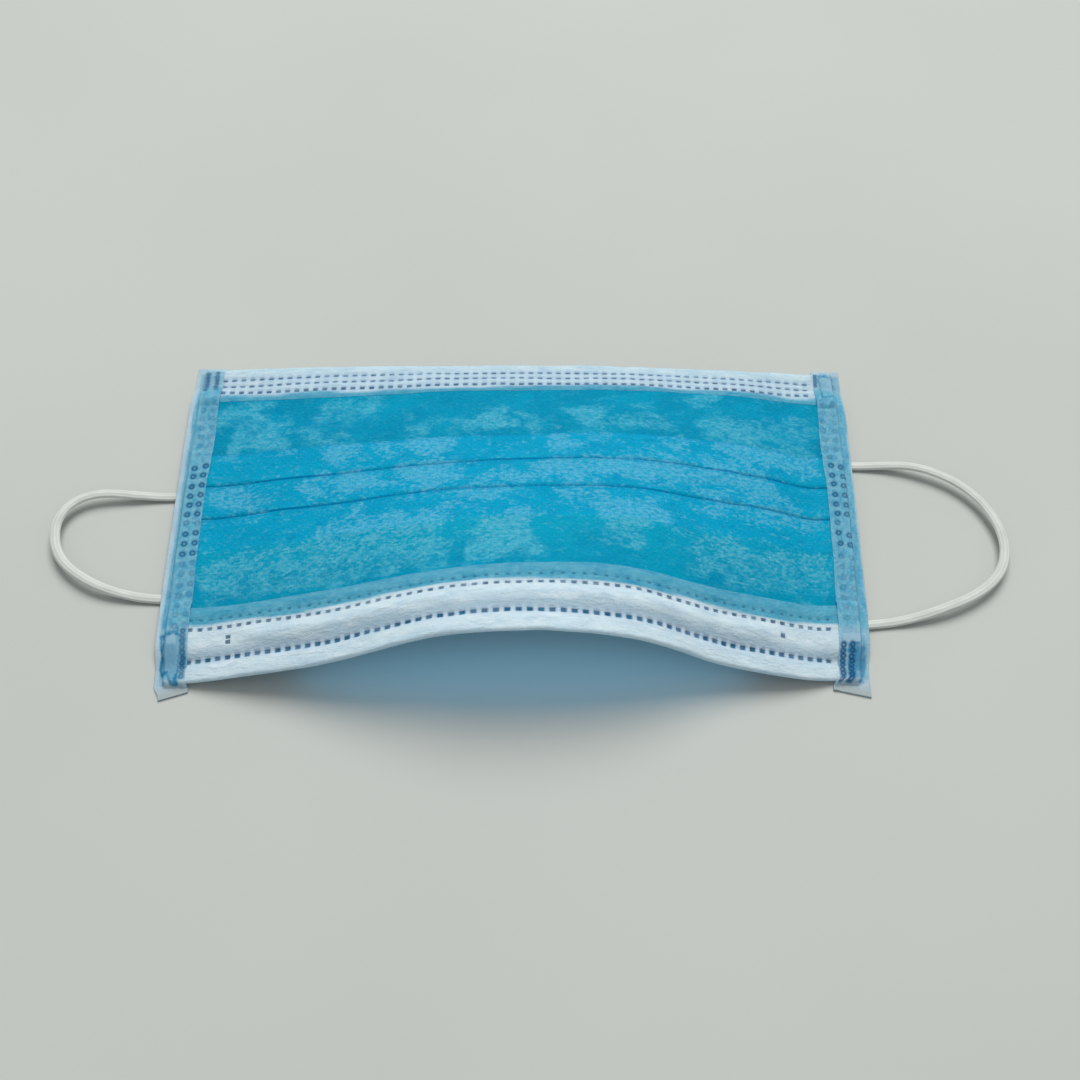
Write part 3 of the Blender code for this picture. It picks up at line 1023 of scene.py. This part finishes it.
def hem_path(hem):
    """A hem from its upper edge round the fold to its lower edge: v, and how far up it is."""
    top = hem_rows(hem)
    middle = hem.edge + hem.inward * (STRIP_WALL / 2 + HEM_TURN)
    angles = np.linspace(math.pi / 2, -math.pi / 2, FOLD_STEPS + 2)[1:-1]
    turned = middle - hem.inward * HEM_TURN * np.cos(angles)
    below = evenly(middle, hem.edge + hem.inward * hem.under, UNDER_STEP)
    v = np.concatenate([top, turned, below])
    upper = np.concatenate([np.ones(len(top)), (1 + np.sin(angles)) / 2, np.zeros(len(below))])
    return v[:, None], upper[:, None]


def dash_marks(s, v, dashes):
    """How far each point is welded, and the blue haze round the welds."""
    weld = np.zeros(np.broadcast_shapes(s.shape, v.shape))
    halo = np.zeros_like(weld)
    number = s / DASH_PITCH + (DASH_COUNT - 1) / 2
    nearest = np.clip(np.rint(number), 0, DASH_COUNT - 1).astype(int)
    off = (number - nearest) * DASH_PITCH
    for seed, (row, half_length, half_width, darkness, haze) in enumerate(dashes):
        strengths = np.random.default_rng(seed).uniform(FAINTEST_DASH, 1, DASH_COUNT)
        along = v - row * MM
        ends = np.clip((half_length * MM + DASH_EDGE - np.abs(off)) / DASH_EDGE, 0, 1)
        sides = np.clip((half_width * MM + DASH_EDGE - np.abs(along)) / DASH_EDGE, 0, 1)
        weld = np.maximum(weld, darkness * strengths[nearest] * ends * sides)
        round_it = (off / HALO_LENGTH) ** 2 + (along / HALO_WIDTH) ** 2
        halo = np.maximum(halo, haze * np.exp(-round_it))
    return weld, halo


def ridge(s, v):
    """The ridge over the nose wire."""
    from_middle = np.abs(v - (BODY_DEPTH - RIDGE_FROM_EDGE)) / (RIDGE_WIDTH / 2)
    ends = smooth_step((RIDGE_LENGTH / 2 - np.abs(s)) / RIDGE_WIDTH)
    return RIDGE_HEIGHT * ends * (1 - smooth_step(from_middle))


def wire_end_marks(s, v):
    """The small welds that show at the two ends of the nose wire."""
    marks = np.zeros(np.broadcast_shapes(s.shape, v.shape))
    for number, along, half in WIRE_ENDS:
        across = s - DASH_PITCH * (number - (DASH_COUNT - 1) / 2)
        ends = np.clip((DASH_HALF + DASH_EDGE - np.abs(across)) / DASH_EDGE, 0, 1)
        sides = np.clip((half * MM + DASH_EDGE - np.abs(v - along * MM)) / DASH_EDGE, 0, 1)
        marks = np.maximum(marks, WIRE_END_DARKNESS * ends * sides)
    return marks


def hem_height(hem, s, v, upper, weld):
    """How high a hem lies above the underside of the cloth."""
    inside = np.abs(v - hem.edge)
    rows = np.array([dash[0] for dash in hem.dashes]) * MM
    to_row = np.abs(v[..., None] - rows).min(-1)
    pinch = ROW_PINCH * np.exp(-((to_row / ROW_PINCH_REACH) ** 2))
    rise = 0
    if hem.wired:
        rise = ridge(s, v)
        to_seam = rows[-1] - v
        pinch = np.maximum(pinch, SEAM_PINCH * np.exp(-((to_seam / SEAM_PINCH_REACH) ** 2)))
    thick = HEM_PLY * smooth_step((hem.white_from - inside) / HEM_PLY_RUN)
    drop = HEM_OVER - PANEL_LAYER - PANEL_WALL / 2 - STRIP_WALL / 2 - SLACK
    drop = drop * (1 - smooth_step((hem.over - inside) / HEM_EDGE_RUN))
    drop = drop + EDGE_SINK * (1 - smooth_step((hem.over - inside) / EDGE_SINK_RUN))
    creased = puffed(s) * smooth_step((hem.white_from - inside) / CREASED_RUN)
    creases = waves(s, v, HEM_CREASES, HEM_WRINKLES) * creased
    loose = HEM_OVER + unevenness(s, v) + rise + thick + creases - drop
    return HEM_UNDER + (loose - pinch - DASH_DENT * weld - HEM_UNDER) * upper


def make_hem(lattice, finish, hem):
    """A strip folded over a long edge, welded in rows of dashes."""
    v, upper = hem_path(hem)
    s = dash_columns()[None, :]
    weld, halo = dash_marks(s, v, hem.dashes)
    crease_shade = np.zeros_like(v)
    if hem.wired:
        weld = np.maximum(weld, wire_end_marks(s, v))
        # Painted shade in the crease just short of the seam row
        away = hem.dashes[-1][0] * MM - SEAM_SHADE_AWAY - v
        crease_shade = np.exp(-((away / SEAM_SHADE_WIDTH) ** 2)) * (upper == 1)
    inside = np.abs(v - hem.edge)
    white_edge = hem.white_from + waves(s, 0, WHITE_EDGE_STRAY)
    blue = smooth_step((inside - white_edge) / WHITE_EDGE_RUN + 0.5) * (upper > 0.5)
    free = smooth_step((inside / hem.over - FREE_FROM) / (1 - FREE_FROM)) * (upper == 1)
    bow = (s / INNER) ** 2 - BOW_LEVEL + waves(s, 0, BOW_STRAY)
    bowed = hem.inward * hem.edge_bow * bow * free
    height = hem_height(hem, s, v, upper, weld)
    places = lattice.laid(s, v + wander(s, v) + bowed, height)
    flat_v = lengths_along(v[:, 0], upper[:, 0] * (HEM_OVER - HEM_UNDER))
    # The chin hem's tint is partly its bluish colour, partly painted shade
    marks = {
        "weld": weld,
        "halo": halo * (upper > 0.5),
        "blue": np.maximum(blue, hem.tint_and_shade),
        "crease_shade": crease_shade,
    }
    flat = (s, flat_v[:, None] + hem.edge)
    piece = sheet_piece(hem.piece, places, flat, marks, [finish], STRIP_WALL)
    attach(piece, "root")
    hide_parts(hem.node)


def ring_marks(s, v, rings):
    """The rings that are welded through a binding."""
    weld = np.zeros(np.broadcast_shapes(s.shape, v.shape))
    stray = np.random.default_rng(RING_SEED)
    for column, first, count, pitch, radius, darkness in rings:
        for k in range(count):
            side, along = stray.normal(0, RING_STRAY, 2)
            across = s - (column + side) * MM
            down = v - (first + k * pitch + along) * MM
            reach = np.sqrt(across**2 + down**2) - radius * MM
            line = np.exp(-((reach / RING_WIDTH) ** 2))
            middle = RING_MIDDLE * smooth_step(-reach / RING_MIDDLE_RUN)
            weld = np.maximum(weld, darkness * np.maximum(line, middle))
    return weld


def corner_dye(out, v, patches):
    """The blue that shows where the corners are pressed through."""
    dye = np.zeros(np.broadcast_shapes(out.shape, v.shape))
    stray = waves(out, v, PATCH_STRAY)
    dotted = 1 + waves(out, v, PATCH_DOTS)
    for middle, along, half_width, half_length, fill, outline in patches:
        across = (out - middle * MM) / (half_width * MM)
        down = (v - along * MM) / (half_length * MM)
        inward = (1 - (across**4 + down**4) ** 0.25) * half_width * MM + stray
        line = outline * dotted * np.exp(-((inward / PATCH_LINE) ** 2))
        dye = np.where(inward > PATCH_RIM, fill * smooth_step(inward / PATCH_RIM_RUN), dye)
        dye = np.where(line > np.abs(dye), line, dye)
    return dye


def binding_blue(binding, out, v):
    """Where a binding covers the mask, paler over the hems."""
    edge = HALF_WIDTH + binding.blue_past_edge + waves(v, 0, BLUE_EDGE_STRAY)
    blue = smooth_step((edge - out) / BLUE_EDGE_RUN + 0.5) * smooth_step(v / BLUE_EDGE_RUN)
    blue = blue * smooth_step((BODY_DEPTH - v) / BLUE_EDGE_RUN)
    on_hems = smooth_step((PALER_BELOW - v) / PALER_RUN)
    on_hems = on_hems + smooth_step((v - PALER_ABOVE) / PALER_RUN)
    return blue * (1 - PALER_ON_HEMS * on_hems)


def layers_below(v):
    """The height at which a binding lies on the hems and the pleated cloth."""
    first = PLEAT_FIRST + FOLD_DRAW
    last = first + (PLEAT_COUNT - 1) * PLEAT_PITCH + LAP
    pleats = smooth_step((v - first + CLIMB_TO_PLEATS) / CLIMB_TO_PLEATS)
    pleats = pleats * smooth_step((last + LAST_FALL - v) / LAST_FALL)
    chin = smooth_step((CHIN_HEM + CHIN_HEM_AHEAD - v) / CLIMB_TO_HEM)
    nose = smooth_step((v - BODY_DEPTH + NOSE_HEM + NOSE_HEM_AHEAD) / CLIMB_TO_HEM)
    cloth = PANEL_LAYER + PANEL_WALL / 2 + (PLEAT_COUNT - 1) * FOLD_SPACING * pleats
    return np.maximum(cloth, (HEM_OVER + HEM_PLY + STRIP_WALL / 2) * np.maximum(chin, nose))


def binding_height(out, v, upper, weld):
    """How high a binding lies above the underside of the cloth."""
    held = smooth_step((v + PAST_CHIN) / CHIN_RUN)
    held = held * smooth_step((BODY_DEPTH + PAST_NOSE - v) / NOSE_RUN)
    held = held * smooth_step((HALF_WIDTH + PAST_SIDE - out) / SIDE_RUN)
    full = layers_below(v) + STRIP_WALL / 2 + SLACK + waves(out, v, BINDING_WAVES)
    over = MARGIN_OVER + (full - MARGIN_OVER) * held - RING_DENT * weld
    return BINDING_UNDER + (over - BINDING_UNDER) * upper


def binding_path():
    """A binding from above round the fold to below: distance out, and how far up it is."""
    turn = (MARGIN_OVER - BINDING_UNDER) / 2
    middle = SIDE - STRIP_WALL / 2 - turn
    angles = np.linspace(math.pi / 2, -math.pi / 2, FOLD_STEPS)[1:-1]
    top = evenly(INNER, middle, BINDING_STEP)
    below = evenly(middle, INNER, BINDING_UNDER_STEP)
    out = np.concatenate([top, middle + turn * np.cos(angles), below])
    upper = np.concatenate([np.ones(len(top)), (1 + np.sin(angles)) / 2, np.zeros(len(below))])
    return out[:, None], upper[:, None]


def make_binding(lattice, finish, binding):
    """A strip folded over a side edge, with free tails past the mask's corners."""
    out, upper = binding_path()
    v = evenly(-CHIN_TAIL, BODY_DEPTH + NOSE_TAIL, BINDING_STEP)[None, :]
    share = (out - INNER) / (SIDE - INNER)
    tail = smooth_step((v - BODY_DEPTH) / NOSE_TAIL)
    slanted = v - (TAIL_SHORT + TAIL_SLANT * (1 - share)) * tail
    flare = binding.flare * smooth_step((v - BODY_DEPTH) / FLARE_RUN + 0.5)
    wavy = out + (waves(v, 0, BINDING_EDGE_STRAY) - flare) * (1 - share)
    wavy = wavy - binding.taper * share * tail
    weld = ring_marks(binding.side * out, v, binding.rings)
    height = binding_height(out, v, upper, weld)
    places = lattice.laid(binding.side * wavy, slanted, height)
    places[..., 0] += BINDING_SHIFT
    marks = {
        "weld": weld * upper,
        "blue": binding_blue(binding, out, v) * upper,
        "dye": corner_dye(out, v, binding.patches) * upper,
        "tail": tail,
    }
    flat_out = lengths_along(out[:, 0], upper[:, 0] * HEM_OVER)
    flat = (flat_out[:, None] + binding.side * INNER, v)
    piece = sheet_piece(binding.piece, places, flat, marks, [finish], STRIP_WALL)
    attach(piece, "root")
    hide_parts(binding.node)


def smooth_route(points, step):
    """Evenly spaced places on a smooth curve through the points."""
    points = np.array(points) * MM
    length = lengths_along(points[:, 0], points[:, 1])
    at = evenly(0, length[-1], step)
    x = through(np.stack([length, points[:, 0]], 1), at)
    y = through(np.stack([length, points[:, 1]], 1), at)
    z = LOOP_HEIGHT + LOOP_RISE * smooth_step((np.abs(x) - SIDE) / LOOP_RISE_RUN)
    return np.stack([x, y, z], 1)


def make_loop(name, node, finish, points):
    """A flat ribbed cord on its route, made as a tube of rings."""
    route = smooth_route(points, LOOP_STEP)
    ahead = np.gradient(route, axis=0)
    ahead /= np.linalg.norm(ahead, axis=1, keepdims=True)
    aside = np.stack([-ahead[:, 1], ahead[:, 0], np.zeros(len(route))], 1)
    angle = np.linspace(0, 2 * math.pi, LOOP_SIDES + 1)
    ribs = np.cos(LOOP_RIBS * angle)
    wide = (LOOP_WIDTH / 2 - RIB_DEPTH + RIB_DEPTH * ribs) * np.cos(angle)
    tall = (LOOP_THICKNESS / 2 - RIB_DEPTH + RIB_DEPTH * ribs) * np.sin(angle)
    places = route[:, None] + wide[None, :, None] * aside[:, None]
    places[..., 2] += tall
    run = lengths_along(route[:, 0], route[:, 1])
    around = angle * LOOP_WIDTH / 2
    # Painted shade in the grooves between the ribs
    marks = {"groove_shade": (1 - ribs)[None, :] / 2}
    piece = sheet_piece(name, places, (around[None, :], run[:, None]), marks, [finish])
    close_tube(piece)
    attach(piece, "root")
    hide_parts(node)
    smooth_route(points, PATH_STEP).tolist()


def close_tube(piece):
    """Joins the tube's long seam, fills its ends and turns its faces outwards."""
    bpy.context.view_layer.objects.active = piece
    piece.select_set(True)
    bpy.ops.object.mode_set(mode="EDIT")
    bpy.ops.mesh.select_all(action="SELECT")
    bpy.ops.mesh.remove_doubles(threshold=SEAM_GAP)
    bpy.ops.mesh.fill_holes(sides=0)
    bpy.ops.mesh.normals_make_consistent(inside=False)
    bpy.ops.object.mode_set(mode="OBJECT")
    bpy.ops.object.select_all(action="DESELECT")


# Stage


def add_camera():
    elevation = math.radians(CAMERA_ELEVATION)
    azimuth = math.radians(CAMERA_AZIMUTH)
    flat = Vector((math.sin(azimuth), -math.cos(azimuth), 0))
    back = flat * math.cos(elevation) + Vector((0, 0, math.sin(elevation)))
    right = Vector((math.cos(azimuth), math.sin(azimuth), 0))
    axes = Matrix((right, back.cross(right), back)).transposed().to_4x4()
    place = Matrix.Translation(Vector(CAMERA_TARGET) + back * CAMERA_DISTANCE)
    bpy.ops.object.camera_add()
    camera = bpy.context.object
    camera.matrix_world = place @ axes @ Matrix.Rotation(math.radians(CAMERA_ROLL), 4, "Z")
    camera.data.lens = CAMERA_LENS
    camera.data.clip_start = CAMERA_NEAR
    bpy.context.scene.camera = camera
    bpy.ops.object.select_all(action="DESELECT")


def add_lights():
    elevation = math.radians(KEY_ELEVATION)
    azimuth = math.radians(KEY_AZIMUTH)
    flat = Vector((math.sin(azimuth), -math.cos(azimuth), 0))
    towards = flat * math.cos(elevation) + Vector((0, 0, math.sin(elevation)))
    bpy.ops.object.light_add(type="AREA", location=towards * KEY_DISTANCE)
    key = bpy.context.object
    key.rotation_euler = towards.to_track_quat("Z", "Y").to_euler()
    key.data.shape = "DISK"
    key.data.size = KEY_SIZE
    key.data.energy = KEY_POWER
    bpy.ops.object.light_add(type="AREA", location=GLOW_PLACE)
    glow = bpy.context.object
    glow.visible_camera = False
    glow.data.shape = "ELLIPSE"
    glow.data.size, glow.data.size_y = GLOW_SIZE
    glow.data.energy = GLOW_POWER
    glow.data.color = paint(*GLOW_COLOUR)[:3]
    world = bpy.data.worlds.new("soft_daylight")
    world.use_nodes = True
    sky = world.node_tree.nodes["Background"]
    sky.inputs["Color"].default_value = paint(*SKY_COLOUR)
    sky.inputs["Strength"].default_value = SKY_STRENGTH
    bpy.context.scene.world = world
    bpy.context.scene.view_settings.view_transform = "Standard"
    bpy.ops.object.select_all(action="DESELECT")


def add_floor():
    bpy.ops.mesh.primitive_plane_add(size=FLOOR_SIZE)
    floor = bpy.context.object
    floor.name = "table"
    floor.data.materials.append(floor_finish())
    bpy.ops.object.select_all(action="DESELECT")


def corners(box):
    return [[float(value) for value in corner] for corner in box]


def main():
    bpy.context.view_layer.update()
    bpy.ops.object.select_all(action="DESELECT")
    add_camera()
    add_lights()
    add_floor()
    elastic = elastic_finish()
    make_loop("elastic_left", "ear_loop_left", elastic, LEFT_LOOP)
    make_loop("elastic_right", "ear_loop_right", elastic, RIGHT_LOOP)
    lattice = Lattice()
    make_panel(lattice, [filter_finish(), inner_finish()])
    hem_cloth = hem_finish()
    for hem in HEMS:
        make_hem(lattice, hem_cloth, hem)
    binding_cloth = binding_finish()
    for binding in BINDINGS:
        make_binding(lattice, binding_cloth, binding)


main()
